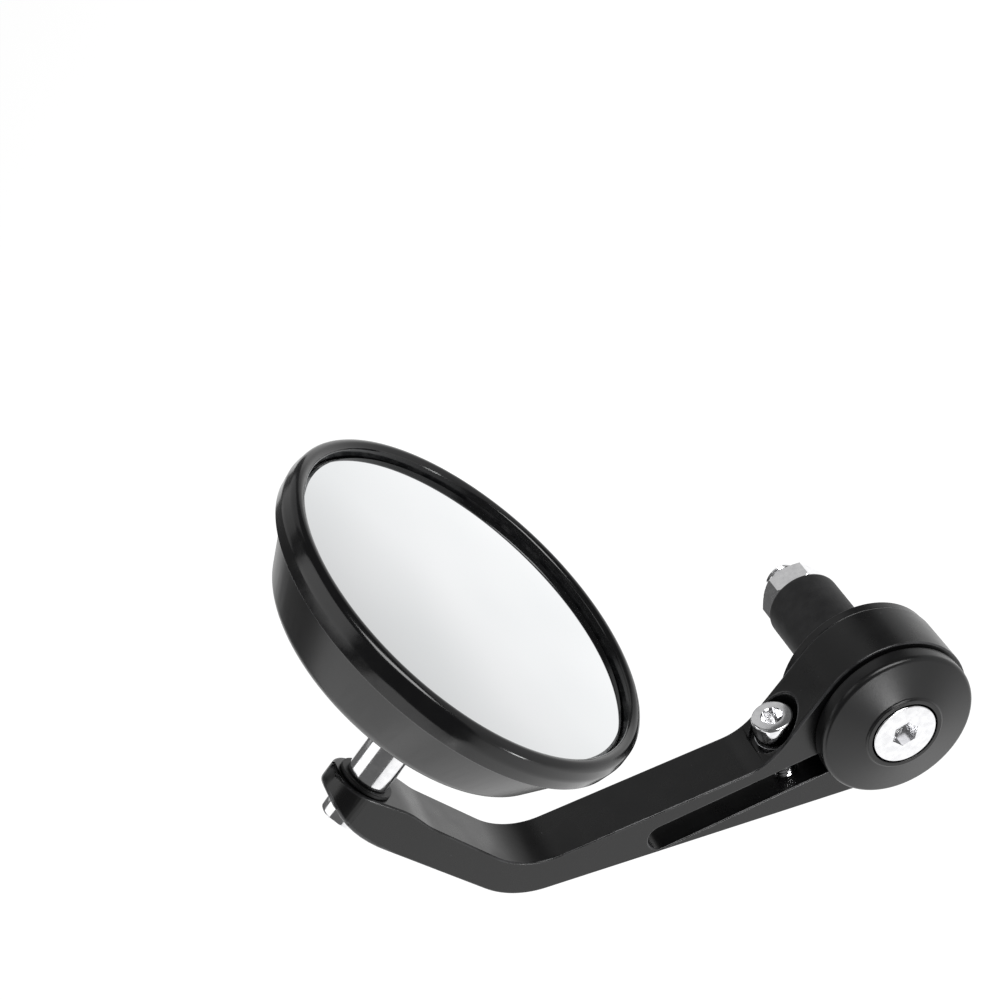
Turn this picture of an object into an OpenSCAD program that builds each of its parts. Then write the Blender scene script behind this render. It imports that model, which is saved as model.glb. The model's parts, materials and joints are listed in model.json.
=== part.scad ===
// Bar-end bicycle mirror, left-hand fitting.
// Frame: the bar axis is X, with +X pointing into the handlebar. X = 0 is the face
// that butts against the end of the handlebar. +Z is up. The glass faces -Y.

/* [Bar plug] */
// Outside diameter of the rubber expander sleeve, relaxed
sleeve_d = 16; // [14:0.1:18]
// Length of the rubber expander sleeve, relaxed
sleeve_len = 24.5; // [20:0.5:34]
// Diameter of the inner flange that meets the end of the handlebar
flange_d = 34.2; // [30:0.1:38]
// Thickness of the inner flange
flange_t = 2.05; // [1.5:0.05:3]
// Diameter of the barrel that the arm's collar clamps on
barrel_d = 22; // [20:0.1:23]
// Thread diameter of the long centre bolt
bolt_d = 8; // [6:0.5:8.5]
// Diameter of the countersunk head of the centre bolt
bolt_head_d = 13.6; // [12.4:0.1:15]
// Size across the flats of the expander nut
nut_af = 13; // [12:0.5:14]
// Thickness of the expander nut
nut_t = 5.6; // [5:0.1:8]
// Length of thread that stands out past the nut
thread_out = 4.5; // [4:0.5:9]

/* [End cap] */
// Diameter of the outer end cap
cap_d = 33.2; // [30:0.1:36]
// Thickness of the end cap at its rim
cap_rim_t = 3.9; // [3:0.1:5]
// How far the shallow cone of the cap rises above its rim
cap_rise = 2.7; // [2:0.1:4]
// Outside diameter of the raised lip around the bolt head
lip_d = 16.4; // [15.6:0.1:18]

/* [Arm] */
// Outside diameter of the clamp collar
collar_d = 34.8; // [33.4:0.1:37]
// Width of the arm, measured along the bar axis
arm_w = 12.3; // [11.5:0.1:15]
// Height of the stem axis above the bar axis
stem_z = 91.3; // [84:0.1:112]
// Distance of the boss pad ahead of the bar axis
pad_y = 57.4; // [50:0.1:66]
// Height of the inside corner of the bend
bend_z = 51.1; // [46:0.1:58]
// Horizontal thickness of the bar at the bend
bar_t = 7.1; // [6:0.1:9]
// How far the thicker pad stands out from the bar
pad_step = 1.4; // [0.8:0.1:2.5]
// Distance from the stem axis down to the step of the pad
pad_len = 11.8; // [10:0.1:14]
// Distance from the stem axis up to the rounded tip
boss_tip = 7.3; // [6.8:0.1:9]
// Distance ahead of the bar axis where the bar leaves the flat top of the collar
throat_y = 20.9; // [19:0.1:24]
// Width of the clamp slot
slot_w = 5.8; // [4:0.1:6]
// Distance from the bar axis to the rounded end of the slot
slot_reach = 54.4; // [44:0.1:55]
// Distance of the slot's centre line below the bar axis
slot_drop = 5; // [4.6:0.1:5.2]
// Distance of the clamp bolt from the bar axis, along the slot
clamp_at = 22; // [20.5:0.1:24]
// Thread diameter of the clamp bolt
clamp_d = 5; // [4:0.5:5]

/* [Stem] */
// Diameter of the chromed stem
stem_d = 8.8; // [8:0.1:9.6]
// Distance from the boss pad to the centre of the ball
stem_len = 28.8; // [24:0.1:36]
// Diameter of the ball
ball_d = 14; // [13:0.1:14.4]
// Diameter of the neck just behind the ball
neck_d = 5.6; // [5:0.1:6]
// Diameter of the stem's spigot in the boss
spigot_d = 6; // [5.4:0.1:6.4]
// Diameter of the stem screw's head
screw_head_d = 7.8; // [7:0.1:8.2]

/* [Head] */
// Diameter of the glass
glass_d = 72.8; // [66:0.1:88]
// Width of the bezel around the glass
bezel_w = 3.3; // [3:0.1:6]
// Thickness of the glass at its edge
glass_t = 2; // [1.5:0.1:2.4]
// How far the convex glass bulges at its centre
glass_bulge = 0.6; // [0.4:0.1:1.2]
// Depth of the ball centre behind the edge of the glass
ball_depth = 13; // [12.8:0.1:15]
// How far the ball sits below the centre of the head
ball_drop = 7.2; // [0:0.1:10]
// Depth of the shell behind the edge of the glass
shell_depth = 17.3; // [16.5:0.1:19]
// Wall thickness of the shell
wall = 2; // [1.6:0.1:2.4]
// How far the head is turned outwards from square to the stem
head_turn = 9.4; // [0:0.1:12]

/* [Hidden] */
$fn = 96;

// Clearances
run = 0.05;      // radial gap of a running fit
face_gap = 0.1;  // axial gap between faces that slide past each other
cut = 0.5;       // how far a cutter runs past the face it opens

// Bar plug, measured along X
collar_x = -flange_t - face_gap;      // inner face of the arm
arm_x = collar_x - arm_w;             // outer face of the arm
cap_x = arm_x - face_gap;             // inner face of the end cap
rim_x = cap_x - cap_rim_t;            // front of the end cap's rim
top_x = rim_x - cap_rise;             // front of the end cap's lip
mid_x = collar_x - arm_w / 2;         // middle of the arm
cap_round = 1.3;
head_cone = (bolt_head_d - bolt_d) / 2;
head_sink = 0.3;
head_band = 0.7;                      // straight band of the bolt head above its cone
head_gap = 0.4;                       // gap around the bolt head
thread_chamfer = 0.8;
bolt_key_r = 2.9;
bolt_key_depth = 3.6;
barrel_end = cap_x;
spigot_len = 2;
spigot_r = 8;
nut_chamfer = 1.2;

// Arm, measured in the plane across the bar axis
collar_r = collar_d / 2;
bore_r = barrel_d / 2 + run;
bend_in = [pad_y + 2 + pad_step, bend_z];
bend_out = [bend_in.x + bar_t, bend_z - 1.9];
throat = [throat_y, collar_r];
tip_z = stem_z + boss_tip;
sweep_r = 28;                         // radius of the back of the boss
sweep_c = [pad_y + 9.3 - sweep_r, stem_z - 9.3];
sweep_end = asin((tip_z - sweep_c.y) / sweep_r);
out_ang = atan2(bend_out.y, bend_out.x) - acos(collar_r / norm(bend_out));
out_touch = collar_r * [cos(out_ang), sin(out_ang)];
front_ang = atan2(bend_in.y - throat.y, bend_in.x - throat.x);
slot_ang = front_ang - 2.2;
slot_end = slot_reach - slot_w / 2;

// Clamp bolt, measured across the slot from the bar axis
clamp_head_d = clamp_d * 1.7;
clamp_seat = 0.75;
washer_t = 1.2;
clamp_gap = 1.15;                     // gap around the bolt head in its counterbore
clamp_head_t = clamp_d;
clamp_key_r = 2.3;
clamp_key_depth = 2.8;
clamp_grip = 12.6;
head_edge = 0.5;

// Stem, measured from the ball centre away from the glass
ball_r = ball_d / 2;
neck_end = 9.6;
cone_end = 10.6;
bush_lip = 0.8;
bush_wall = 0.7;
bush_lip_r = arm_w / 2 - 0.6;
boss_back = pad_y + 4.4;              // floor of the recess for the stem screw
shoulder = stem_len - bush_lip - face_gap;
spigot_end = stem_len + (boss_back - pad_y) + face_gap;
stem_washer_t = 0.5;
screw_head_t = 4;
screw_d = 3;
screw_grip = 12;
screw_gap = 0.3;                      // gap around the screw head in its recess
screw_edge = 0.6;
screw_key_r = 1.75;
screw_key_depth = 2.2;
ball_y = pad_y - stem_len;

// Head, measured from the ball centre towards the glass
glass_front = ball_depth;
glass_back = glass_front - glass_t;
edge_bevel = 0.4;
pad_t = 0.8;
plate_front = glass_back - pad_t;
plate_t = 1.2;
plate_back = plate_front - plate_t;
plate_r = 18;
seat_t = 1.15;
socket_r = ball_r + run + seat_t + run;
shell_back = shell_depth - ball_depth;
socket_back = 7.6;
socket_wall = 2.2;
seat_low = -ball_r * 0.707;            // edge of the seat that faces the stem
seat_high = -ball_r * 0.227;
mouth_r = 6.8;                        // opening for the neck, at the back
throat_r = 5;                         // opening for the neck, where it meets the socket
throat_depth = 4.2;
cup_low = 2.6;
cup_top = ball_r + 0.75;
spring_t = 0.45;
spring_r = 3;
screw_pcd_r = 14;
screw_angles = [90, 210, 330];
plate_screw_r = 1.5;
plate_screw_head_r = 2.6;
plate_screw_len = 6;
plate_screw_key_r = 1;
boss_r = 3.2;
head_axis = ball_drop;
rim_inner_r = glass_d / 2 + 0.2;
bezel_back = -3.9;                    // rear edge of the bezel, from the glass edge
shell_rim_r = rim_inner_r + 1.1;
taper = 27.5;                         // slope of the shell's side from the glass axis
corner_r = 5;                         // outer radius between the shell's side and its back
corner_d = shell_depth - corner_r;
side_k = shell_rim_r * cos(taper) - bezel_back * sin(taper);
corner_c = (side_k - corner_r - corner_d * sin(taper)) / cos(taper);
ledge_r = rim_inner_r - 2.4;
bezel_lip = -1.0;                     // where the bezel sits on the shell's rim
bezel_rise = 2.2;

// Points of an arc from angle a0 to a1
function arc(c, r, a0, a1, n = 14) = [for (i = [0:n])
    let (a = a0 + (a1 - a0) * i / n)
    c + r * [cos(a), sin(a)]];

function unit(v) = v / norm(v);

// Rounds corner b, between a and c, with radius r
function round_corner(a, b, c, r) =
    let (u = unit(a - b), v = unit(c - b), half = acos(u * v) / 2,
         centre = b + unit(u + v) * r / sin(half),
         start = b + u * r / tan(half), finish = b + v * r / tan(half),
         a0 = atan2(start.y - centre.y, start.x - centre.x),
         a1 = atan2(finish.y - centre.y, finish.x - centre.x),
         turn = (a1 - a0 + 540) % 360 - 180)
    arc(centre, r, a0, a0 + turn);

// An outline from corners [point, radius]; a radius of 0 keeps the corner sharp
function outline(k) = [for (i = [0:len(k) - 1])
    let (n = len(k), a = k[(i + n - 1) % n][0], b = k[i][0], c = k[(i + 1) % n][0], r = k[i][1])
    each r > 0 ? round_corner(a, b, c, r) : [b]];

ARM_CORNERS = concat(
    [[[0, 0], 0], [out_touch, 0], [bend_out, 18]],
    [for (p = arc(sweep_c, sweep_r, 0, sweep_end, 8)) [p, 0]],
    [[[pad_y, tip_z], 0.8], [[pad_y, stem_z - pad_len + 3], 18],
    [[pad_y + pad_step, stem_z - pad_len - 3], 18], [bend_in, 15], [throat, 12], [[0, collar_r], 0]]);

// Child Z points along +X
module along_bar() { rotate([0, 90, 0]) children(); }
// Child X and Y lie in the plane across the bar, child Z along +X
module across_bar() { rotate([90, 0, 90]) children(); }
// Child Y runs along the clamp slot from the bar axis, child Z square to it
module slot_frame() { translate([mid_x, 0, 0]) rotate([slot_ang, 0, 0]) children(); }
// Child origin at the ball centre, child Z along the stem towards the glass
module stem_frame() { translate([mid_x, ball_y, stem_z]) rotate([90, 0, 0]) children(); }
// As stem_frame, turned with the head
module head_frame() {
    translate([mid_x, ball_y, stem_z]) rotate([0, 0, -head_turn]) rotate([90, 0, 0]) children();
}
// As head_frame, centred on the glass, child Z = 0 at the edge of the glass
module glass_frame() { head_frame() translate([0, head_axis, glass_front]) children(); }
// A tube from z0 to z1
module tube(r_out, r_in, z0, z1) {
    translate([0, 0, z0]) difference() {
        cylinder(r = r_out, h = z1 - z0);
        translate([0, 0, -cut]) cylinder(r = r_in, h = z1 - z0 + 2 * cut);
    }
}

module end_cap() {
    r = cap_d / 2;
    depth = rim_x - cap_x;
    color("#1c1c1e") translate([cap_x, 0, 0]) along_bar() difference() {
        union() {
            rotate_extrude() polygon(concat(
                [[0, 0], [r - 0.4, 0], [r, -0.4]],
                arc([r - cap_round, depth + cap_round], cap_round, 0, -80, 8),
                [[lip_d / 2 + 0.2, top_x - cap_x + 0.5], [lip_d / 2, top_x - cap_x], [0, top_x - cap_x]]));
            cylinder(r = spigot_r, h = spigot_len);
        }
        translate([0, 0, top_x - cap_x - cut]) cylinder(r = bolt_d / 2 + run, h = 20);
        translate([0, 0, top_x - cap_x - cut])
            cylinder(r = bolt_head_d / 2 + head_gap, h = head_sink + head_band + 0.1 + cut);
        translate([0, 0, top_x - cap_x + head_sink + head_band + 0.1])
            cylinder(r1 = bolt_head_d / 2 + head_gap, r2 = bolt_d / 2 + run, h = head_cone + head_gap);
    }
}

module hub_flange() {
    color("#202022") difference() {
        union() {
            translate([-flange_t, 0, 0]) along_bar() cylinder(r = flange_d / 2, h = flange_t);
            translate([barrel_end, 0, 0]) along_bar()
                cylinder(r = barrel_d / 2, h = -barrel_end - flange_t / 2);
        }
        translate([barrel_end - cut, 0, 0]) along_bar() cylinder(r = bolt_d / 2 + run, h = 40);
        translate([barrel_end - cut, 0, 0]) along_bar()
            cylinder(r = spigot_r + run, h = spigot_len + cut + face_gap);
    }
}

module centre_bolt() {
    end_x = sleeve_len + nut_t + thread_out;
    pitch = 1.25;
    groove = 0.55;
    color("#d8d8da") difference() {
        union() {
            translate([top_x - 0.1, 0, 0]) along_bar()
                cylinder(r = bolt_head_d / 2, h = head_sink + head_band);
            translate([top_x + head_sink + head_band - 0.1, 0, 0]) along_bar()
                cylinder(r1 = bolt_head_d / 2, r2 = bolt_d / 2, h = head_cone);
            translate([top_x + 1, 0, 0]) along_bar()
                cylinder(r = bolt_d / 2, h = end_x - thread_chamfer - top_x - 1);
            translate([end_x - thread_chamfer, 0, 0]) along_bar()
                cylinder(r1 = bolt_d / 2, r2 = bolt_d / 2 - thread_chamfer, h = thread_chamfer);
        }
        // hexagon socket
        translate([top_x - cut, 0, 0]) along_bar()
            cylinder(r = bolt_key_r, h = bolt_key_depth + cut, $fn = 6);
        // thread turns that show past the nut
        for (i = [0:floor(thread_out / pitch) - 1])
            translate([end_x - 1.1 - pitch * i, 0, 0]) along_bar() rotate_extrude()
                polygon([[bolt_d / 2 - groove, 0], [bolt_d / 2 + 0.1, -0.5], [bolt_d / 2 + 0.1, 0.5]]);
    }
}

module expander_sleeve() {
    r = sleeve_d / 2;
    color("#262627") along_bar() difference() {
        rotate_extrude() polygon(concat([[0, 0], [r, 0]],
            arc([r - 1.2, sleeve_len - 1.2], 1.2, 0, 90, 6), [[0, sleeve_len]]));
        translate([0, 0, -cut]) cylinder(r = bolt_d / 2 + 0.15, h = sleeve_len + 2 * cut);
    }
}

module expander_nut() {
    r = nut_af / 2 / cos(30);
    color("#cfcfd2") translate([sleeve_len, 0, 0]) along_bar() difference() {
        intersection() {
            cylinder(r = r, h = nut_t, $fn = 6);
            rotate_extrude() polygon([
                [0, 0], [r, 0], [r, nut_t - nut_chamfer], [nut_af / 2 - 0.4, nut_t], [0, nut_t]]);
        }
        translate([0, 0, -cut]) cylinder(r = bolt_d / 2 + run, h = nut_t + 2 * cut);
    }
}

module arm_slot_2d() {
    rotate(slot_ang) {
        translate([0, -slot_drop - slot_w / 2]) square([slot_end, slot_w]);
        translate([slot_end, -slot_drop]) circle(d = slot_w);
    }
}

// Seen along the stem, the arm has straight sides and a full-round tip
module arm_plan() {
    r = arm_w / 2;
    centre_z = tip_z - r;
    translate([arm_x, -collar_r - cut, -collar_r - cut]) cube([arm_w, 120, centre_z + collar_r + cut]);
    translate([mid_x, -cut, centre_z]) rotate([-90, 0, 0]) cylinder(r = r, h = 120);
}

module arm() {
    color("#19191b") difference() {
        intersection() {
            translate([arm_x, 0, 0]) across_bar() linear_extrude(arm_w) difference() {
                union() {
                    circle(r = collar_r);
                    polygon(outline(ARM_CORNERS));
                }
                circle(r = bore_r);
                arm_slot_2d();
            }
            arm_plan();
        }
        // bush, spigot and stem screw
        translate([mid_x, pad_y - cut, stem_z]) rotate([-90, 0, 0])
            cylinder(r = spigot_d / 2 + bush_wall + run, h = 20);
        translate([mid_x, boss_back, stem_z]) rotate([-90, 0, 0])
            cylinder(r = screw_head_d / 2 + screw_gap, h = 20);
        // clamp bolt: counterbore, clearance hole and thread
        slot_frame() translate([0, clamp_at, 0]) {
            translate([0, 0, clamp_seat]) cylinder(r = clamp_head_d / 2 + clamp_gap, h = 20);
            translate([0, 0, -slot_drop]) cylinder(r = clamp_d / 2 + 0.2, h = 20);
            translate([0, 0, -slot_drop - 20]) cylinder(r = clamp_d / 2 + run, h = 21);
        }
    }
}

module clamp_bolt() {
    color("#d6d6d8") slot_frame() translate([0, clamp_at, 0]) difference() {
        union() {
            translate([0, 0, clamp_seat + washer_t])
                cylinder(d = clamp_head_d, h = clamp_head_t - head_edge);
            translate([0, 0, clamp_seat + washer_t + clamp_head_t - head_edge])
                cylinder(d1 = clamp_head_d, d2 = clamp_head_d - 0.8, h = head_edge);
            translate([0, 0, -clamp_grip])
                cylinder(d = clamp_d, h = clamp_grip + clamp_seat + washer_t + 1);
        }
        translate([0, 0, clamp_seat + washer_t + clamp_head_t - clamp_key_depth])
            cylinder(r = clamp_key_r, h = clamp_key_depth + cut, $fn = 6);
    }
}

module clamp_washer() {
    color("#c0c0c3") slot_frame() translate([0, clamp_at, 0])
        tube(clamp_head_d / 2 + 0.1, clamp_d / 2 + 0.1, clamp_seat, clamp_seat + washer_t);
}

module stem_bush() {
    r_in = spigot_d / 2 + run;
    depth = boss_back - pad_y;
    color("#141415") translate([mid_x, pad_y, stem_z]) rotate([-90, 0, 0]) {
        tube(spigot_d / 2 + bush_wall, r_in, -bush_lip / 2, depth);
        tube(bush_lip_r, r_in, -bush_lip, 0);
    }
}

module stem_post() {
    color("#dcdcde") stem_frame() difference() {
        union() {
            sphere(r = ball_r);
            translate([0, 0, -neck_end]) cylinder(d = neck_d, h = neck_end);
            translate([0, 0, -cone_end]) cylinder(d1 = stem_d, d2 = neck_d, h = cone_end - neck_end);
            translate([0, 0, -shoulder]) cylinder(d = stem_d, h = shoulder - cone_end);
            translate([0, 0, -spigot_end]) cylinder(d = spigot_d, h = spigot_end - shoulder + 1);
        }
        translate([0, 0, -spigot_end - cut]) cylinder(d = screw_d + 0.1, h = screw_grip + cut);
    }
}

module stem_washer() {
    color("#c8c8ca") stem_frame()
        tube(screw_head_d / 2, screw_d / 2 + 0.1, -spigot_end - stem_washer_t, -spigot_end);
}

module stem_screw() {
    top = -spigot_end - stem_washer_t;
    color("#d8d8da") stem_frame() difference() {
        union() {
            translate([0, 0, top - screw_head_t + screw_edge])
                cylinder(d = screw_head_d, h = screw_head_t - screw_edge);
            translate([0, 0, top - screw_head_t])
                cylinder(d1 = screw_head_d - 2 * screw_edge, d2 = screw_head_d, h = screw_edge);
            translate([0, 0, top]) cylinder(d = screw_d, h = screw_grip - 1);
        }
        translate([0, 0, top - screw_head_t - cut])
            cylinder(r = screw_key_r, h = screw_key_depth + cut, $fn = 6);
    }
}

module ball_seat() {
    color("#e6e4dc") head_frame() difference() {
        intersection() {
            sphere(r = ball_r + run + seat_t);
            translate([0, 0, seat_low]) cylinder(r = 20, h = seat_high - seat_low);
        }
        sphere(r = ball_r + run);
    }
}

// Side, corner and back of the shell about the glass axis, set in by the distance inset
function shell_side(inset) = concat(
    arc([corner_c, -corner_d], corner_r - inset, -taper, -90, 12), [[0, -shell_depth + inset]]);

module shell_outer() {
    rotate_extrude() polygon(concat(
        [[0, bezel_lip], [shell_rim_r, bezel_lip], [shell_rim_r, bezel_back]], shell_side(0)));
}

module shell_inner() {
    pad_back = -glass_t - pad_t;
    ledge_d = (side_k - wall - ledge_r * cos(taper)) / sin(taper);
    rotate_extrude() polygon(concat(
        [[0, 1], [rim_inner_r, 1], [rim_inner_r, pad_back], [ledge_r, pad_back], [ledge_r, -ledge_d]],
        shell_side(wall)));
}

module head_shell() {
    r_socket = socket_r + socket_wall;
    color("#4a4a4c") difference() {
        union() {
            glass_frame() difference() {
                shell_outer();
                shell_inner();
            }
            head_frame() {
                translate([0, 0, -socket_back]) cylinder(r = r_socket, h = socket_back + plate_back);
                for (a = screw_angles) rotate(a) translate([screw_pcd_r, 0, -shell_back + wall / 2])
                    cylinder(r = boss_r, h = plate_back + shell_back - wall / 2);
            }
        }
        head_frame() {
            sphere(r = socket_r);
            cylinder(r = socket_r, h = plate_back + cut);
            // opening that the neck swings in
            translate([0, 0, -socket_back - cut])
                cylinder(r1 = mouth_r, r2 = throat_r, h = socket_back - throat_depth + cut);
            for (a = screw_angles) rotate(a) translate([screw_pcd_r, 0, plate_back - plate_screw_len - cut])
                cylinder(r = plate_screw_r + run, h = 8);
        }
    }
}

module bezel_rim() {
    r = glass_d / 2 + bezel_w;
    r_in = glass_d / 2 + 0.35;
    color("#151516") glass_frame() rotate_extrude() polygon(concat(
        [[shell_rim_r + 0.02, bezel_back], [r - 0.4, bezel_back]],
        arc([r - 2.0, -0.2], 2.0, -20, 90, 10),
        arc([r_in + 0.8, bezel_rise - 1.4], 0.8, 90, 180, 5),
        [[r_in, bezel_lip + 0.02], [shell_rim_r + 0.02, bezel_lip + 0.02]]));
}

module mirror_glass() {
    r = glass_d / 2;
    steps = 12;
    color("#dfe2e6") glass_frame() rotate_extrude() polygon(concat(
        [[0, -glass_t], [r, -glass_t], [r, -edge_bevel]],
        [for (i = [steps:-1:0])
            let (q = (r - edge_bevel) * i / steps)
            [q, glass_bulge * (1 - pow(q / r, 2))]]));
}

module glass_pad() {
    color("#303032") glass_frame() translate([0, 0, -glass_t - pad_t])
        cylinder(r = rim_inner_r - 0.8, h = pad_t);
}

module retainer_plate() {
    color("#9c9ea2") head_frame() difference() {
        translate([0, 0, plate_back]) cylinder(r = plate_r, h = plate_t);
        for (a = screw_angles) rotate(a) translate([screw_pcd_r, 0, plate_back - cut])
            cylinder(r = plate_screw_r + 0.2, h = plate_t + 2 * cut);
        for (a = screw_angles) rotate(a) translate([screw_pcd_r, 0, plate_back + 0.01])
            cylinder(r1 = plate_screw_r + 0.2, r2 = plate_screw_head_r + 0.3, h = plate_t);
    }
}

module retainer_screws() {
    color("#b9babd") head_frame() for (a = screw_angles)
    rotate(a) translate([screw_pcd_r, 0, 0]) difference() {
        union() {
            translate([0, 0, plate_back - plate_screw_len])
                cylinder(r = plate_screw_r, h = plate_screw_len + plate_t);
            translate([0, 0, plate_back + 0.1])
                cylinder(r1 = plate_screw_r, r2 = plate_screw_head_r, h = plate_t - 0.1);
        }
        translate([0, 0, plate_front - 0.8]) cylinder(r = plate_screw_key_r, h = 2, $fn = 6);
    }
}

module pressure_cup() {
    color("#e6e4dc") head_frame() difference() {
        translate([0, 0, cup_low]) cylinder(r = socket_r - run, h = cup_top - cup_low);
        sphere(r = ball_r + run);
    }
}

module cup_spring() {
    ring_r = socket_r - 0.9;
    color("#a8aaad") head_frame() rotate_extrude() polygon([
        [spring_r, plate_back - spring_t], [ring_r, cup_top], [ring_r, cup_top + spring_t],
        [spring_r, plate_back]]);
}

end_cap();
hub_flange();
centre_bolt();
expander_sleeve();
expander_nut();
arm();
clamp_bolt();
clamp_washer();
stem_bush();
stem_post();
stem_washer();
stem_screw();
ball_seat();
head_shell();
bezel_rim();
mirror_glass();
glass_pad();
retainer_plate();
retainer_screws();
pressure_cup();
cup_spring();
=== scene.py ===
import json
from math import asin, cos, pi, radians, sin

import bmesh
import bpy
import numpy as np
from mathutils import Matrix, Vector


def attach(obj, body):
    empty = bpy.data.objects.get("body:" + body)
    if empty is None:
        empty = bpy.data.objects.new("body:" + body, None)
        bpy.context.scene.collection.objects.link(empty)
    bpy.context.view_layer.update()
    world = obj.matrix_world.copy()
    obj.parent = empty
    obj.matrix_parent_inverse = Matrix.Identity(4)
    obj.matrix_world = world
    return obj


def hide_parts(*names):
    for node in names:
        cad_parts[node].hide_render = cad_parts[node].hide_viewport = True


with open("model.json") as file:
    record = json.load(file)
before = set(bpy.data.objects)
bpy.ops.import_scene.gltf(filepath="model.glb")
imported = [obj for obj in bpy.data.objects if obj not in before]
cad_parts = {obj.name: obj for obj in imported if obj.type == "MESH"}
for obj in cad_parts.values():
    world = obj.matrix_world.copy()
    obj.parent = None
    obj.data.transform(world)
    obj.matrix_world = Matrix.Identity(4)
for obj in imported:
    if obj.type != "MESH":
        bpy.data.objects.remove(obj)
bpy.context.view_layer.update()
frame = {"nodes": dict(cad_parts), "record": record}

MM = 0.001

# Sizes of the real pieces in millimetres, as the frame has them
SLEEVE_R, SLEEVE_LEN = 8.0, 24.5
FLANGE_T = 2.05
FACE_GAP = 0.1
ARM_W = 12.3
CAP_R, CAP_RIM_T, CAP_RISE, LIP_R = 16.6, 3.9, 2.7, 8.2
BOLT_R, BOLT_HEAD_R = 4.0, 6.8
NUT_AF, NUT_T, THREAD_OUT = 13.0, 5.6, 4.5
STEM_Z, PAD_Y, STEM_LEN = 91.3, 57.4, 28.8
STEM_R, BALL_R, NECK_R, SPIGOT_R = 4.4, 7.0, 2.8, 3.0
NECK_END, CONE_END, BUSH_LIP, BOSS_DEPTH, STEM_WASHER_T = 9.6, 10.6, 0.8, 4.4, 0.5
GLASS_R, GLASS_T, GLASS_BULGE = 36.4, 2.0, 0.6
BEZEL_R, BALL_DEPTH, BALL_DROP, HEAD_TURN = 39.7, 13.0, 7.2, 9.4
BEZEL_BACK, BEZEL_LIP, SHELL_RIM_R = 3.9, 0.98, 37.72
CLAMP_AT, CLAMP_R, CLAMP_SEAT, WASHER_T, CLAMP_GRIP = 22.0, 2.5, 0.75, 1.2, 12.6

# Places along the bar axis
ARM_X1 = -FLANGE_T - FACE_GAP
ARM_X0 = ARM_X1 - ARM_W
MID_X = ARM_X1 - ARM_W / 2
CAP_X = ARM_X0 - FACE_GAP
TOP_X = CAP_X - CAP_RIM_T - CAP_RISE
SLOT_ANGLE = 38.3


# ---------------------------------------------------------------- axes
def axis_frame(origin, axis, side):
    """A 4x4 matrix: Z is the unit axis, X is side made square to it, Y is Z cross X; origin in mm."""
    z = Vector(axis).normalized()
    x = (Vector(side) - z * Vector(side).dot(z)).normalized()
    y = z.cross(x)
    m = Matrix((x, y, z)).transposed().to_4x4()
    m.translation = Vector(origin)
    return np.array(m)


BAR = axis_frame((0, 0, 0), (1, 0, 0), (0, 1, 0))
STEM = axis_frame((MID_X, PAD_Y - STEM_LEN, STEM_Z), (0, -1, 0), (1, 0, 0))
HEAD_AXIS = (-sin(radians(HEAD_TURN)), -cos(radians(HEAD_TURN)), 0)
GLASS_CENTRE = (
    MID_X + HEAD_AXIS[0] * BALL_DEPTH,
    PAD_Y - STEM_LEN + HEAD_AXIS[1] * BALL_DEPTH,
    STEM_Z + BALL_DROP,
)
GLASS = axis_frame(GLASS_CENTRE, HEAD_AXIS, (0, 0, 1))
STEM_BACK = axis_frame(
    (MID_X, PAD_Y + BOSS_DEPTH + FACE_GAP + STEM_WASHER_T, STEM_Z), (0, 1, 0), (1, 0, 0)
)
SLOT = radians(SLOT_ANGLE)
CLAMP = axis_frame(
    (MID_X, CLAMP_AT * cos(SLOT), CLAMP_AT * sin(SLOT)), (0, -sin(SLOT), cos(SLOT)), (1, 0, 0)
)


# ---------------------------------------------------------------- surfaces
def rounded(corners, steps=6):
    """Points of an outline whose corners (r, h, radius) are each replaced by an arc of that radius.

    The arc touches both sides at radius * tan(half the turn) from the corner, and its points are evenly
    spaced in angle about the centre, which lies on the bisector."""
    pts = np.array([c[:2] for c in corners], float)
    out = [pts[0]]
    for i in range(1, len(pts) - 1):
        radius = corners[i][2] if len(corners[i]) > 2 else 0
        a = pts[i - 1] - pts[i]
        c = pts[i + 1] - pts[i]
        a /= np.linalg.norm(a)
        c /= np.linalg.norm(c)
        half = np.arccos(np.clip(a @ c, -1, 1)) / 2
        if radius <= 0 or half > pi / 2 - 1e-3:
            out.append(pts[i])
            continue
        bisector = (a + c) / np.linalg.norm(a + c)
        centre = pts[i] + bisector * radius / sin(half)
        start = pts[i] + a * radius / np.tan(half) - centre
        turn = pi - 2 * half
        turn *= np.sign(start[0] * bisector[1] - start[1] * bisector[0])
        t = -turn * np.linspace(0, 1, steps + 1)
        spin = np.stack([np.cos(t), -np.sin(t), np.sin(t), np.cos(t)], 1).reshape(-1, 2, 2)
        arc = centre + spin @ start
        end = pts[i] + c * radius / np.tan(half)
        if np.linalg.norm(arc[-1] - end) > 1e-6 * max(1, radius) + 1e-4:
            spin = spin.transpose(0, 2, 1)
            arc = centre + spin @ start
        out.extend(arc)
    out.append(pts[-1])
    return np.array(out)


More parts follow.
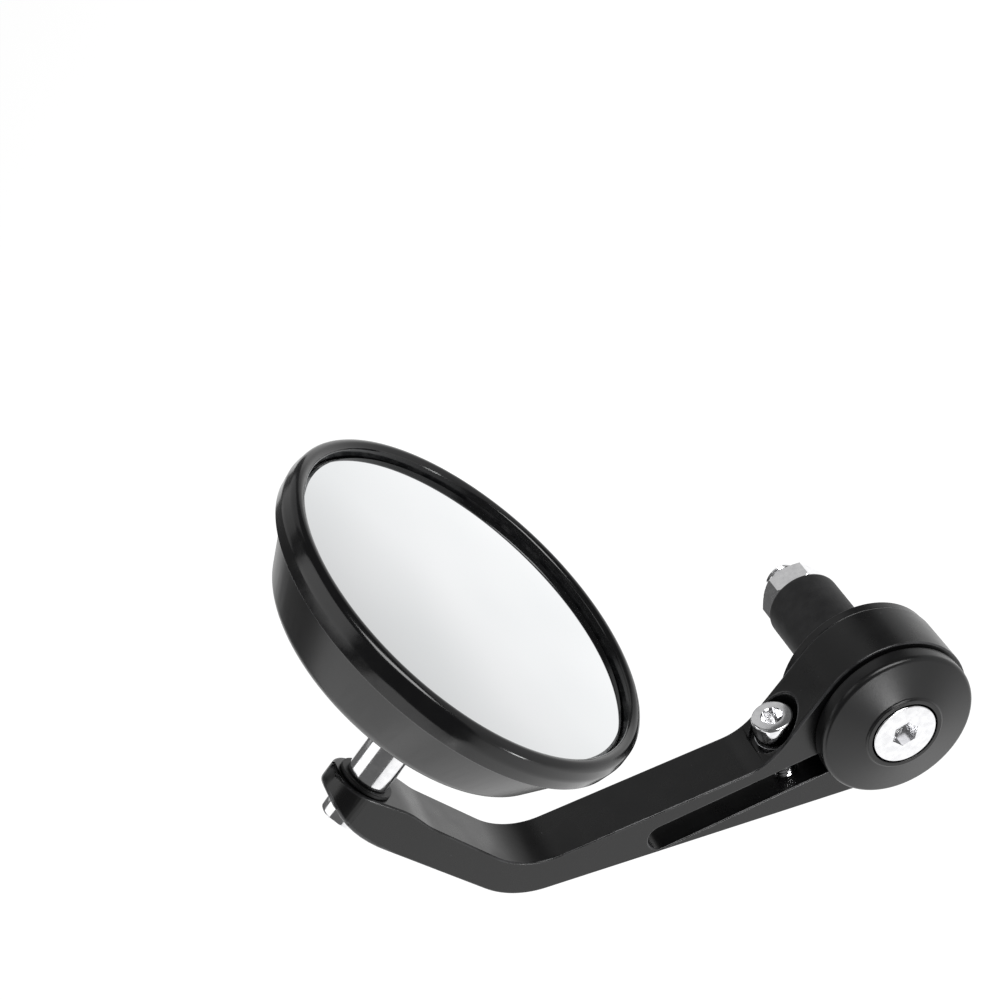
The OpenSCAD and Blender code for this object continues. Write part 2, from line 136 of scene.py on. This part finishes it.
def mesh_from_grid(name, points, wrap_u, matrix):
    """A mesh of quads on a grid of points (rows, columns, 3) in millimetres, closed round the columns.

    Rows that lie on the axis are welded to one pole, and the faces are turned outwards by the sign of the
    volume, which is the sum over faces of a corner times the cross product of the next two."""
    rows, cols = points.shape[:2]
    flat = points.reshape(-1, 3) @ matrix[:3, :3].T + matrix[:3, 3]
    i = np.arange(rows if wrap_u else rows - 1)[:, None]
    j = np.arange(cols)[None, :]
    i2 = (i + 1) % rows
    j2 = (j + 1) % cols
    quads = np.stack([i * cols + j, i * cols + j2, i2 * cols + j2, i2 * cols + j], -1).reshape(-1, 4)
    a, b, c, d = (flat[quads[:, k]] for k in range(4))
    volume = np.einsum("ij,ij->", a, np.cross(b, c)) + np.einsum("ij,ij->", a, np.cross(c, d))
    if volume < 0:
        quads = quads[:, ::-1]
    mesh = bpy.data.meshes.new(name)
    mesh.from_pydata((flat * MM).tolist(), [], quads.tolist())
    bm = bmesh.new()
    bm.from_mesh(mesh)
    bmesh.ops.remove_doubles(bm, verts=bm.verts, dist=1e-6)
    bmesh.ops.dissolve_degenerate(bm, dist=1e-7, edges=bm.edges)
    bm.to_mesh(mesh)
    bm.free()
    return mesh


def finish_piece(name, mesh, body, nodes, material, sharp=32):
    """Puts a mesh into the scene as a piece of that body which stands for those frame nodes."""
    mesh.shade_smooth()
    mesh.set_sharp_from_angle(angle=radians(sharp))
    piece = bpy.data.objects.new(name, mesh)
    bpy.context.scene.collection.objects.link(piece)
    piece.data.materials.append(material)
    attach(piece, body)
    if nodes:
        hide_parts(*nodes)
    return piece


def turned(name, outline, matrix, closed=False, hexed=None, thread=None, cols=120):
    """A turned piece: each outline point (r, h) is carried round the axis.

    hexed is a range of point numbers whose r is half the size across the flats of a hexagon, so that their
    radius is r / cos(angle from the middle of the flat). thread is (h0, h1, pitch, depth), inside which the
    radius drops along a helix by depth times 1.25 w - 0.12, kept within 0 and 1, where w is a triangle wave
    of h / pitch - turn."""
    outline = np.asarray(outline, float)
    turn = np.linspace(0, 2 * pi, cols, endpoint=False)
    r = np.repeat(outline[:, :1], cols, 1)
    h = np.repeat(outline[:, 1:2], cols, 1)
    if hexed is not None:
        flat = (turn + pi / 6) % (pi / 3) - pi / 6
        r[hexed] = r[hexed] / np.cos(flat)[None, :]
    if thread is not None:
        h0, h1, pitch, depth = thread
        phase = (h / pitch - turn[None, :] / (2 * pi)) % 1.0
        wave = 1 - np.abs(2 * phase - 1)
        inside = (h > h0) & (h < h1)
        r = np.where(inside, r - depth * np.clip(1.25 * wave - 0.12, 0, 1), r)
    points = np.stack([r * np.cos(turn), r * np.sin(turn), h], -1)
    return mesh_from_grid(name, points, closed, matrix)


def softened(name, node, body, material, width, segments=3, sharp=32, weight=None, edge_highlight_paint=None):
    """A copy of a frame node with its loose triangles merged, its flats made whole and its edges rounded.

    An edge that turns by more than sharp degrees is rounded to width, in millimetres, times
    weight(its middle point), which is 1 where no weight is given."""
    mesh = frame["nodes"][node].data.copy()
    mesh.name = name
    mesh.materials.clear()
    bm = bmesh.new()
    bm.from_mesh(mesh)
    bmesh.ops.remove_doubles(bm, verts=bm.verts, dist=2e-6)
    bmesh.ops.dissolve_degenerate(bm, dist=1e-6, edges=bm.edges)
    bmesh.ops.dissolve_limit(
        bm, angle_limit=radians(0.6), use_dissolve_boundaries=False, verts=bm.verts, edges=bm.edges
    )
    layer = bm.edges.layers.float.new("bevel_weight_edge")
    for edge in bm.edges:
        if len(edge.link_faces) == 2 and edge.calc_face_angle(0) > radians(sharp):
            middle = (edge.verts[0].co + edge.verts[1].co) / 2 / MM
            edge[layer] = weight(middle) if weight else 1.0
    bm.to_mesh(mesh)
    bm.free()
    for layer in list(mesh.uv_layers):
        mesh.uv_layers.remove(layer)
    piece = finish_piece(name, mesh, body, [node], material, sharp)
    bevel = piece.modifiers.new("rounded edges", "BEVEL")
    bevel.width = width * MM
    bevel.segments = segments
    bevel.limit_method = "WEIGHT"
    bevel.use_clamp_overlap = weight is None
    bevel.harden_normals = True
    # the bevels take a second material when one is given; for the arm it is a painted edge highlight
    if edge_highlight_paint:
        piece.data.materials.append(edge_highlight_paint)
        bevel.material = 1
    return piece


BOSS_FOOT_Z = STEM_Z - 7.3
BOSS_BACK_Y = PAD_Y + 3.6
HOLE_EDGE_R = 4.6


def arm_edge(middle):
    """Share of the rounding: full at the back of the boss, less at its front, on the bar and at its holes."""
    from_stem = Vector((middle.x - MID_X, 0, middle.z - STEM_Z)).length
    on_boss = middle.z > BOSS_FOOT_Z
    if from_stem < HOLE_EDGE_R:
        return 0.15
    if on_boss and middle.y > BOSS_BACK_Y:
        return 1.0
    if on_boss:
        return 0.6
    return 0.5


# ---------------------------------------------------------------- materials
def linear(code):
    """The linear colour of an sRGB hex code: ((c + 0.055) / 1.055) ** 2.4, or c / 12.92 below 0.04045."""
    c = np.array([int(code[k : k + 2], 16) / 255 for k in (1, 3, 5)])
    c = np.where(c <= 0.04045, c / 12.92, ((c + 0.055) / 1.055) ** 2.4)
    return (*c.tolist(), 1.0)


def add(tree, kind, inputs=(), **settings):
    """Adds a node of that kind, sets its properties, and gives each input a value or a link."""
    node = tree.nodes.new(kind)
    for key, value in settings.items():
        setattr(node, key, value)
    for key, value in dict(inputs).items():
        if isinstance(value, bpy.types.NodeSocket):
            tree.links.new(value, node.inputs[key])
        else:
            node.inputs[key].default_value = value
    return node


def new_material(name, **values):
    """A material with one principled shader; returns the material, its node tree and the shader."""
    material = bpy.data.materials.new(name)
    material.use_nodes = True
    tree = material.node_tree
    shader = tree.nodes["Principled BSDF"]
    for key, value in values.items():
        shader.inputs[key.replace("_", " ").title().replace("Ior", "IOR")].default_value = value
    return material, tree, shader


def grain(tree, size_mm, detail=3.0):
    """Noise on object coordinates whose features are about size_mm across."""
    where = add(tree, "ShaderNodeTexCoord")
    return add(
        tree,
        "ShaderNodeTexNoise",
        {"Vector": where.outputs["Object"], "Scale": 1 / (size_mm * MM), "Detail": detail},
    )


def ramp(tree, value, stops):
    """A colour ramp with stops (position, hex code or grey level)."""
    node = add(tree, "ShaderNodeValToRGB", {"Fac": value})
    while len(node.color_ramp.elements) < len(stops):
        node.color_ramp.elements.new(1.0)
    for element, (position, colour) in zip(node.color_ramp.elements, stops):
        element.position = position
        element.color = linear(colour) if isinstance(colour, str) else (colour, colour, colour, 1)
    return node


def bump(tree, height, depth_mm, strength):
    return add(
        tree, "ShaderNodeBump", {"Height": height, "Distance": depth_mm * MM, "Strength": strength}
    ).outputs["Normal"]


def satin_paint():
    """Satin black powder coat on cast aluminium: a fine orange peel, and dust nibs caught in the film."""
    material, tree, shader = new_material(
        "satin black powder coat", roughness=0.3, ior=1.5, specular_ior_level=0.5
    )
    peel = grain(tree, 0.9, 2.0)
    nibs = grain(tree, 0.55, 0.0)
    specks = ramp(tree, nibs.outputs["Fac"], [(0.0, "#0a0a0b"), (0.86, "#0c0c0d"), (0.89, "#3c3c3e")])
    mottle = ramp(tree, grain(tree, 6.0).outputs["Fac"], [(0.3, 0.25), (0.7, 0.34)])
    tree.links.new(specks.outputs["Color"], shader.inputs["Base Color"])
    tree.links.new(mottle.outputs["Color"], shader.inputs["Roughness"])
    tree.links.new(bump(tree, peel.outputs["Fac"], 0.02, 0.35), shader.inputs["Normal"])
    return material


def painted_edge_highlight():
    """Lighter coat colour on the rounded edges: a painted highlight where the light catches them, broken up
    along its length.
    """
    material, tree, shader = new_material("coat with painted edge highlight", roughness=0.22, ior=1.5)
    # painted highlight: the edge colour is lighter than the coat to stand in for glints of light
    edge_highlight_tone = ramp(tree, grain(tree, 5.0, 4.0).outputs["Fac"], [(0.35, "#1a1a1b"), (0.7, "#4c4c4e")])
    tree.links.new(edge_highlight_tone.outputs["Color"], shader.inputs["Base Color"])
    return material


def cap_enamel():
    """Turned aluminium with the same coat, smoother, so that it has a softer wide shine."""
    material, tree, shader = new_material(
        "satin black enamel on turned aluminium", roughness=0.28, ior=1.5, specular_ior_level=0.5
    )
    tone = ramp(tree, grain(tree, 4.0).outputs["Fac"], [(0.3, "#101011"), (0.7, "#141415")])
    nibs = grain(tree, 0.4, 1.0)
    tree.links.new(tone.outputs["Color"], shader.inputs["Base Color"])
    tree.links.new(bump(tree, nibs.outputs["Fac"], 0.01, 0.4), shader.inputs["Normal"])
    return material


def gloss_moulding():
    """Gloss black ABS moulding: a clear sharp shine with faint flow waviness."""
    material, tree, shader = new_material(
        "gloss black moulded ABS", roughness=0.16, ior=1.5, specular_ior_level=0.55
    )
    tone = ramp(tree, grain(tree, 5.0).outputs["Fac"], [(0.3, "#08080a"), (0.7, "#0c0c0d")])
    rough = ramp(tree, grain(tree, 2.0).outputs["Fac"], [(0.35, 0.13), (0.7, 0.22)])
    tree.links.new(tone.outputs["Color"], shader.inputs["Base Color"])
    tree.links.new(rough.outputs["Color"], shader.inputs["Roughness"])
    tree.links.new(bump(tree, grain(tree, 9.0, 1.0).outputs["Fac"], 0.05, 0.25), shader.inputs["Normal"])
    return material


def silvered_glass():
    """Back-silvered float glass: a near perfect reflection with a trace of grey."""
    material, tree, shader = new_material("silvered convex glass", metallic=1.0, roughness=0.03)
    tone = ramp(tree, grain(tree, 30.0, 1.0).outputs["Fac"], [(0.3, "#eef0f1"), (0.7, "#f6f7f8")])
    tree.links.new(tone.outputs["Color"], shader.inputs["Base Color"])
    return material


def ground_edge():
    """The ground and polished edge of the glass, its tone uneven along the edge."""
    material, tree, shader = new_material("ground glass edge", metallic=0.6, roughness=0.2)
    tone = ramp(tree, grain(tree, 3.0).outputs["Fac"], [(0.42, "#8e9294"), (0.58, "#f2f4f5")])
    tree.links.new(tone.outputs["Color"], shader.inputs["Base Color"])
    return material


def bright_chrome():
    """Chromium plate over polished steel: mirror bright, with fine polishing lines and slight ripple."""
    material, tree, shader = new_material("bright chromium plate", metallic=1.0, roughness=0.09)
    tone = ramp(tree, grain(tree, 1.2, 4.0).outputs["Fac"], [(0.3, "#e8e8ea"), (0.65, "#f8f8f9")])
    rough = ramp(tree, grain(tree, 0.8, 4.0).outputs["Fac"], [(0.35, 0.07), (0.7, 0.18)])
    tree.links.new(tone.outputs["Color"], shader.inputs["Base Color"])
    tree.links.new(rough.outputs["Color"], shader.inputs["Roughness"])
    tree.links.new(bump(tree, grain(tree, 3.0, 1.0).outputs["Fac"], 0.03, 0.15), shader.inputs["Normal"])
    return material


def zinc_plate():
    """Bright zinc plate on steel: greyer than chrome, with a soft crystalline mottle."""
    material, tree, shader = new_material("bright zinc plate", metallic=1.0, roughness=0.24)
    tone = ramp(tree, grain(tree, 0.9, 4.0).outputs["Fac"], [(0.3, "#a9abae"), (0.7, "#e4e5e7")])
    rough = ramp(tree, grain(tree, 1.5).outputs["Fac"], [(0.35, 0.16), (0.7, 0.34)])
    tree.links.new(tone.outputs["Color"], shader.inputs["Base Color"])
    tree.links.new(rough.outputs["Color"], shader.inputs["Roughness"])
    return material


def moulded_rubber():
    """Moulded black rubber: matt, dusty grey at a glancing angle, with a fine pebbled skin."""
    material, tree, shader = new_material(
        "moulded black rubber", roughness=0.62, ior=1.5, specular_ior_level=0.4
    )
    tone = ramp(tree, grain(tree, 2.5, 4.0).outputs["Fac"], [(0.3, "#1b1b1c"), (0.7, "#29292a")])
    tree.links.new(tone.outputs["Color"], shader.inputs["Base Color"])
    tree.links.new(bump(tree, grain(tree, 0.5, 2.0).outputs["Fac"], 0.05, 0.5), shader.inputs["Normal"])
    return material


def moulded_nylon(name, dark, light, rough):
    """Moulded plastic, slightly uneven in tone, with a fine satin texture."""
    material, tree, shader = new_material(name, roughness=rough, ior=1.5)
    tone = ramp(tree, grain(tree, 2.0).outputs["Fac"], [(0.3, dark), (0.7, light)])
    tree.links.new(tone.outputs["Color"], shader.inputs["Base Color"])
    tree.links.new(bump(tree, grain(tree, 0.4).outputs["Fac"], 0.01, 0.4), shader.inputs["Normal"])
    return material


FINISH = {
    "black_arm": satin_paint(),
    "black_cap": cap_enamel(),
    "gloss_bezel": gloss_moulding(),
    "mirror": silvered_glass(),
    "bright_chrome": bright_chrome(),
    "zinc_steel": zinc_plate(),
    "black_rubber": moulded_rubber(),
    "black_nylon": moulded_nylon("moulded black nylon", "#0d0d0e", "#161617", 0.5),
    "white_acetal": moulded_nylon("natural acetal", "#d8d4c8", "#e6e3da", 0.4),
}
for part in frame["record"]["subparts"]:
    node = frame["nodes"][part["node"]]
    node.data.materials.clear()
    node.data.materials.append(FINISH[part["material_slot"]])


# ---------------------------------------------------------------- pieces
def end_cap():
    """A dished disc: rounded rim, shallow cone up to a lip, and a countersink for the bolt head."""
    base = CAP_X
    rim = base - CAP_RIM_T
    well = BOLT_HEAD_R + 0.4
    outline = rounded([
        (BOLT_R + 0.05, base), (CAP_R - 0.4, base, 0.15), (CAP_R, base - 0.6, 0.5),
        (CAP_R, rim, 1.2), (LIP_R + 0.15, TOP_X + 0.45, 0.6), (LIP_R - 0.05, TOP_X, 0.3),
        (well, TOP_X, 0.15), (well, TOP_X + 1.1, 0), (BOLT_R + 0.05, TOP_X + 4.2, 0), (BOLT_R + 0.05, base),
    ], 8)
    mesh = turned("end_cap_turned", outline[:-1], BAR, closed=True)
    return finish_piece("end_cap_turned", mesh, "plug", ["end_cap"], FINISH["black_cap"])


def sleeve():
    """The rubber sleeve, a tube with a moulded radius on its inner end."""
    bore = BOLT_R + 0.15
    outline = rounded([
        (bore, 0), (SLEEVE_R, 0, 0.2), (SLEEVE_R, SLEEVE_LEN, 1.2), (bore, SLEEVE_LEN), (bore, 0),
    ], 8)
    mesh = turned("rubber_sleeve", outline[:-1], BAR, closed=True)
    return finish_piece(
        "rubber_sleeve", mesh, "plug", ["expander_sleeve"], FINISH["black_rubber"]
    )


def hex_nut():
    """A hexagon cut by a chamfer cone at each end: r is the smaller of half / cos(angle) and the cone's.

    At the outer end the cone's radius is 0.4 mm less than half the size across the flats, and it widens by
    1.25 mm for each millimetre inwards. The cone at the sleeve starts 0.7 mm further on and cuts less."""
    half, top = NUT_AF / 2, SLEEVE_LEN + NUT_T
    levels = np.concatenate([np.linspace(0, 0.9, 5) + SLEEVE_LEN, np.linspace(top - 1.4, top, 13)])
    turn = np.linspace(0, 2 * pi, 144, endpoint=False)
    flat = (turn + pi / 6) % (pi / 3) - pi / 6
    from_end = np.minimum(levels - SLEEVE_LEN + 0.7, top - levels)
    chamfer = (half - 0.4) + from_end * 1.25
    r = np.minimum((half / np.cos(flat))[None, :], chamfer[:, None])
    bore = np.full((1, turn.size), BOLT_R + 0.05)
    countersink = np.full((1, turn.size), BOLT_R + 0.6)
    r = np.concatenate([bore, r, countersink, bore])
    h = np.concatenate([[SLEEVE_LEN], levels, [top, top - 0.5]])[:, None] + 0 * turn[None, :]
    points = np.stack([r * np.cos(turn), r * np.sin(turn), h], -1)
    mesh = mesh_from_grid("hex_nut", points, True, BAR)
    return finish_piece(
        "hex_nut", mesh, "nut", ["expander_nut"], FINISH["bright_chrome"], 24
    )


def centre_bolt():
    """A countersunk socket bolt, its thread cut as a helix where it stands past the sleeve."""
    end = SLEEVE_LEN + NUT_T + THREAD_OUT
    top = TOP_X - 0.1
    socket = 2.5
    head = rounded([
        (0, top + 3.4), (socket, top + 3.4, 0), (socket, top, 0), (socket + 0.25, top, 0),
        (BOLT_HEAD_R, top, 0.25), (BOLT_HEAD_R, top + 1.0, 0), (BOLT_R, top + 3.8, 0),
        (BOLT_R, SLEEVE_LEN, 0),
    ], 5)
    threaded = np.arange(SLEEVE_LEN + 0.1, end - 0.7, 0.1)
    tip = [(BOLT_R, end - 0.75), (BOLT_R - 0.7, end), (0, end)]
    outline = np.concatenate([head, np.stack([np.full(len(threaded), BOLT_R), threaded], 1), tip])
    mesh = turned(
        "countersunk_bolt", outline, BAR, hexed=slice(1, 3), thread=(SLEEVE_LEN, end - 0.4, 1.25, 0.62)
    )
    return finish_piece(
        "countersunk_bolt", mesh, "plug", ["centre_bolt"], FINISH["bright_chrome"], 24
    )


def socket_bolt(name, matrix, node, body, head_r, head_h, seat, shank_r, shank_end, socket, pitch):
    """A cap bolt: a hexagon socket in a plain round head, and a threaded shank below the seat."""
    top = seat + head_h
    head = rounded([
        (0, top - 0.55 * head_h), (socket, top - 0.55 * head_h, 0), (socket, top - 0.2, 0),
        (socket + 0.25, top, 0), (head_r, top, 0.55), (head_r, seat, 0.1), (shank_r, seat, 0),
        (shank_r, seat - 1.4, 0),
    ], 5)
    threaded = np.arange(seat - 1.5, shank_end + 0.4, -0.1)
    tip = [(shank_r - 0.4, shank_end), (0, shank_end)]
    outline = np.concatenate([head, np.stack([np.full(len(threaded), shank_r), threaded], 1), tip])
    mesh = turned(name, outline, matrix, hexed=slice(1, 3), thread=(shank_end + 0.3, seat - 1.4, pitch, 0.42))
    return finish_piece(name, mesh, body, [node], FINISH["bright_chrome"], 24)


def stem():
    """Ball, neck, shoulder and stem turned in one piece; the outline runs from the ball to the spigot."""
    t = np.linspace(0, pi - asin(NECK_R / BALL_R), 40)
    ball = np.stack([BALL_R * np.sin(t), BALL_R * np.cos(t)], 1)
    back = STEM_LEN - BUSH_LIP - FACE_GAP
    end = STEM_LEN + BOSS_DEPTH + FACE_GAP
    rest = rounded([
        tuple(ball[-1]), (NECK_R, -NECK_END, 0.4), (STEM_R, -CONE_END, 0.3), (STEM_R, -back, 0.25),
        (SPIGOT_R, -back, 0), (SPIGOT_R, -end, 0), (0, -end),
    ], 5)
    mesh = turned("ball_stem", np.concatenate([ball, rest[1:]]), STEM)
    return finish_piece("ball_stem", mesh, "stem", ["stem_post"], FINISH["bright_chrome"])


def bezel():
    """A ring of rounded section: a full nose in front, a flat outer band and a sharp rear edge."""
    inner = GLASS_R + 0.35
    outline = rounded([
        (SHELL_RIM_R, -BEZEL_BACK), (BEZEL_R - 0.5, -BEZEL_BACK, 0.3), (BEZEL_R + 0.02, -1.0, 3.2),
        (BEZEL_R - 0.35, 1.7, 1.5), (BEZEL_R - 1.8, 2.35, 1.2), (inner, 1.7, 0.8),
        (inner, -BEZEL_LIP, 0), (SHELL_RIM_R, -BEZEL_LIP, 0), (SHELL_RIM_R, -BEZEL_BACK),
    ], 12)
    mesh = turned("gloss_bezel_ring", outline[:-1], GLASS, closed=True, cols=240)
    return finish_piece(
        "gloss_bezel_ring", mesh, "head", ["bezel_rim"], FINISH["gloss_bezel"], 50
    )


def glass():
    """The glass: its face falls off as the square of the radius, and its edge is a polished bevel."""
    edge = 0.55
    r = np.linspace(0, GLASS_R - edge, 30)
    face = np.stack([r, GLASS_BULGE * (1 - (r / GLASS_R) ** 2)], 1)
    side = [(GLASS_R, -edge), (GLASS_R, -GLASS_T), (0, -GLASS_T)]
    mesh = turned("convex_glass", np.concatenate([face, side]), GLASS, cols=240)
    piece = finish_piece("convex_glass", mesh, "head", ["mirror_glass"], FINISH["mirror"], 12)
    piece.data.materials.append(ground_edge())
    centre = Vector(GLASS_CENTRE) * MM
    normal = Vector(HEAD_AXIS)
    for face in piece.data.polygons:
        out = face.center - centre
        out -= normal * out.dot(normal)
        if out.length > (GLASS_R - edge * 0.98) * MM:
            face.material_index = 1
    return piece


end_cap()
sleeve()
hex_nut()
centre_bolt()
stem()
bezel()
glass()
# the arm's rounded edges carry a painted highlight, a lighter colour standing in for glints of light
softened(
    "painted_arm", "arm", "arm", FINISH["black_arm"], 0.8, 4, 32,
    arm_edge, painted_edge_highlight(),
)
softened("shell", "head_shell", "head", FINISH["black_cap"], 0.3, 3, 28)
softened("hub", "hub_flange", "plug", FINISH["black_cap"], 0.25)
softened("boss_ring", "stem_bush", "arm", FINISH["black_nylon"], 0.2)
softened("clamp_washer_rounded", "clamp_washer", "arm", FINISH["zinc_steel"], 0.15)
softened("stem_washer_rounded", "stem_washer", "stem", FINISH["zinc_steel"], 0.12)
socket_bolt(
    "clamp_cap_bolt", CLAMP, "clamp_bolt", "arm", 4.25, 5.0, CLAMP_SEAT + WASHER_T,
    CLAMP_R, -CLAMP_GRIP, 2.0, 0.8,
)
socket_bolt("stem_cap_screw", STEM_BACK, "stem_screw", "stem", 3.9, 4.0, 0.0, 1.5, -11.0, 1.5, 0.5)


# ---------------------------------------------------------------- studio
def camera():
    """A long lens about half a metre off, above, ahead and outboard, rolled so that the arm lies across."""
    data = bpy.data.cameras.new("camera")
    data.sensor_width = 36.0
    data.lens = 86.7
    data.clip_start = 0.01
    right = Vector((-0.3487, -0.5707, -0.7435))
    ahead = Vector((0.7720, 0.2749, -0.5731)).normalized()
    right = (right - ahead * right.dot(ahead)).normalized()
    up = right.cross(ahead)
    m = Matrix((right, up, -ahead)).transposed().to_4x4()
    m.translation = Vector((-335.63, -120.71, 347.72)) * MM
    eye = bpy.data.objects.new("camera", data)
    bpy.context.scene.collection.objects.link(eye)
    eye.matrix_world = m
    bpy.context.scene.camera = eye


FLOOR_Z = -0.30
GLOW_BRIGHTER_WAY = (0.465, 0.885, 0.0)  # the floor grows brighter this way
GLOW_FADE_LEN = 0.30  # over this many metres, up to the origin


def floor():
    """A wide pale floor that glows by painted emission like a light table: a painted pool of light that fades
    a little towards the front.
    """
    size = 3.0
    mesh = bpy.data.meshes.new("floor")
    corners = [(-size, -size, FLOOR_Z), (size, -size, FLOOR_Z), (size, size, FLOOR_Z), (-size, size, FLOOR_Z)]
    mesh.from_pydata(corners, [], [(0, 1, 2, 3)])
    ground = bpy.data.objects.new("floor", mesh)
    bpy.context.scene.collection.objects.link(ground)
    material, tree, shader = new_material("pale floor with painted glow", roughness=1.0, specular_ior_level=0.0)
    shader.inputs["Base Color"].default_value = linear("#8c8c8c")
    shader.inputs["Emission Strength"].default_value = 1.0
    where = add(tree, "ShaderNodeTexCoord")
    along = add(
        tree, "ShaderNodeVectorMath", {0: where.outputs["Object"], 1: GLOW_BRIGHTER_WAY}, operation="DOT_PRODUCT"
    )
    glow_fade = add(
        tree, "ShaderNodeMapRange", {"Value": along.outputs["Value"], "From Min": -GLOW_FADE_LEN, "From Max": 0.0}
    )
    # painted light: the floor's emission grows brighter one way, a painted pool of light rather than
    # lamplight
    tone = ramp(tree, glow_fade.outputs["Result"], [(0.0, 0.50), (0.26, 0.60), (0.58, 0.84), (0.85, 0.93)])
    tree.links.new(tone.outputs["Color"], shader.inputs["Emission Color"])
    mesh.materials.append(material)


def softbox(name, direction, distance, size, radiance):
    """A rectangular area light that faces the part; its power is pi times radiance times area."""
    data = bpy.data.lights.new(name, "AREA")
    data.shape = "RECTANGLE"
    data.size, data.size_y = size
    data.energy = pi * radiance * size[0] * size[1]
    lamp = bpy.data.objects.new(name, data)
    bpy.context.scene.collection.objects.link(lamp)
    centre = Vector((0.0, 0.03, 0.06))
    lamp.location = centre + Vector(direction).normalized() * distance
    lamp.rotation_euler = (centre - lamp.location).to_track_quat("-Z", "Y").to_euler()


def studio():
    """A dim surround, a key box ahead, panels behind, beside and above, and a low lamp for the cap."""
    world = bpy.data.worlds.new("studio")
    world.use_nodes = True
    world.node_tree.nodes["Background"].inputs["Color"].default_value = (1, 1, 1, 1)
    world.node_tree.nodes["Background"].inputs["Strength"].default_value = 0.12
    bpy.context.scene.world = world
    bpy.context.scene.view_settings.view_transform = "Standard"
    softbox("key box", (-0.50, -0.75, 0.42), 0.9, (0.34, 0.6), 7.0)
    softbox("rear wall", (-0.10, 0.95, 0.22), 1.1, (1.3, 0.9), 1.0)
    softbox("side panel", (0.77, -0.12, 0.42), 1.2, (1.5, 0.8), 0.42)
    softbox("overhead", (0.10, 0.27, 0.93), 0.9, (0.75, 0.9), 1.1)
    softbox("low lamp", (-0.867, -0.03, -0.40), 0.5, (0.07, 0.07), 18.0)


camera()
floor()
studio()
